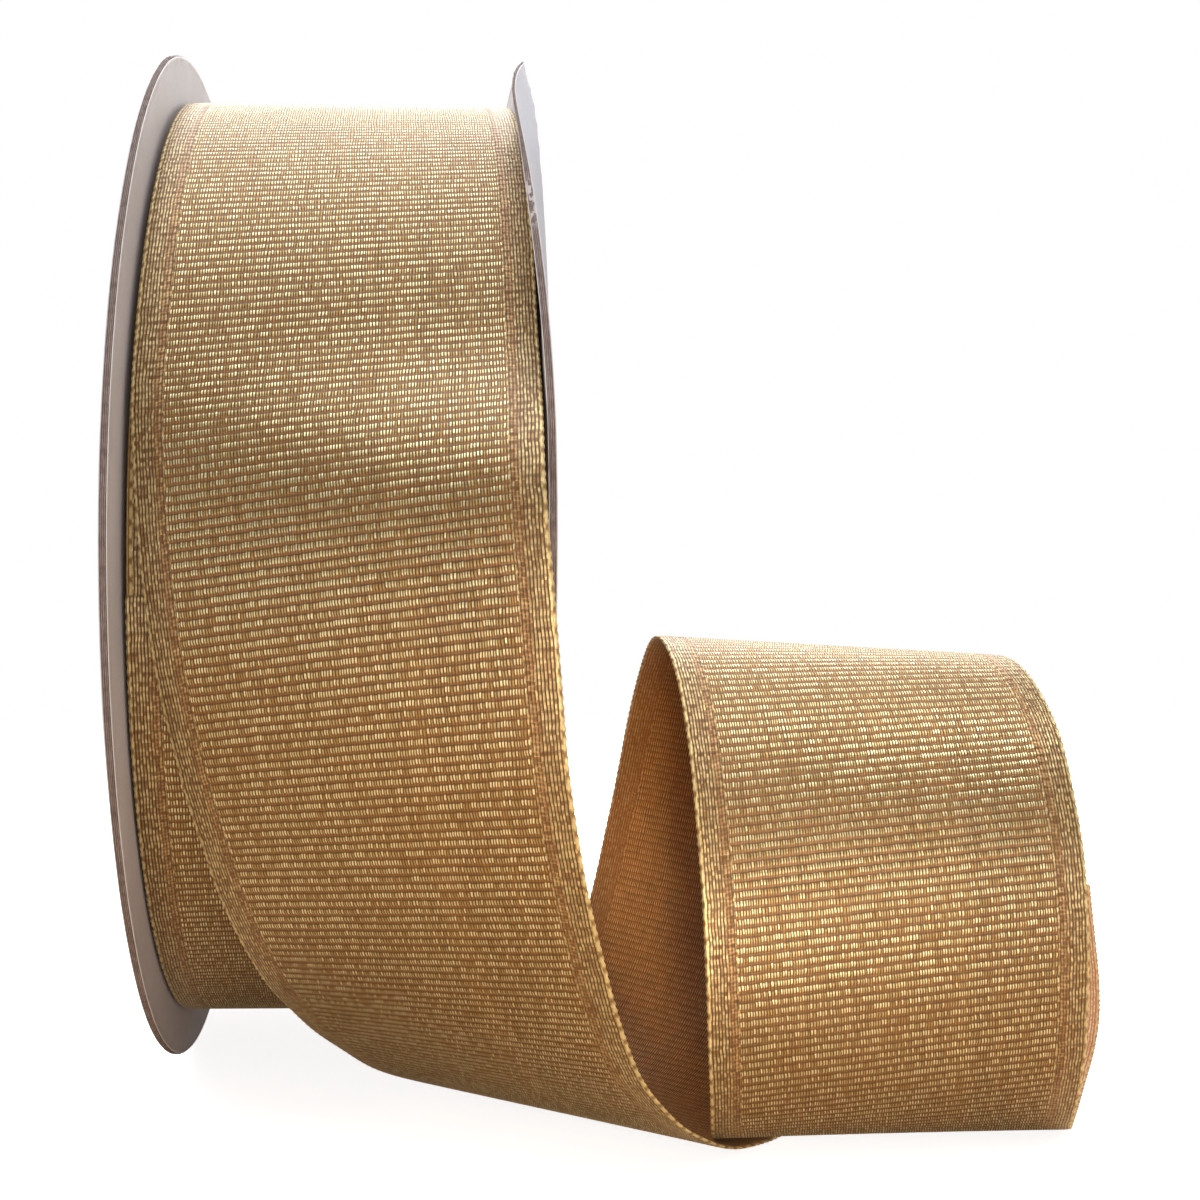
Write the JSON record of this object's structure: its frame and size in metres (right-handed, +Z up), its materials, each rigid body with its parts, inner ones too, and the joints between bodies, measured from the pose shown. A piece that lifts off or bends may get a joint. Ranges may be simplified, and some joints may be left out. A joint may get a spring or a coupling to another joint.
{
  "type": "ribbon spool",
  "caption": "Paperboard spool of wide metallic woven ribbon standing on its rims, the loose end coming off the front and lying beside it in one standing loop.",
  "frame": {"origin": "centre of the spool's bore, midway between the two discs", "axes": "X along the spool's axis, with the loose loop on the +X side; +Z up; the ribbon leaves the roll on the -Y side"},
  "size_m": [0.1203, 0.1309, 0.125],
  "materials": {
    "board": "matte",
    "liner": "satin",
    "core_paper": "matte",
    "tape": "satin",
    "ribbon": "metallic satin"
  },
  "bodies": {
    "loose_ribbon": {"ribbon_tail": "ribbon", "outer_wrap": "ribbon"},
    "spool": {"flange_board_left": "board", "flange_board_right": "board", "inner_liner_left": "liner", "inner_liner_right": "liner", "outer_liner_left": "liner", "outer_liner_right": "liner", "core_inner_ply": "core_paper", "core_outer_ply": "core_paper", "start_tape": "tape", "ribbon_roll": "ribbon"}
  },
  "joints": [
    {"name": "spool_turn", "type": "hinge", "parent": "loose_ribbon", "child": "spool", "pos_m": [0, 0, 0], "axis": [1, 0, 0], "continuous": true}
  ]
}
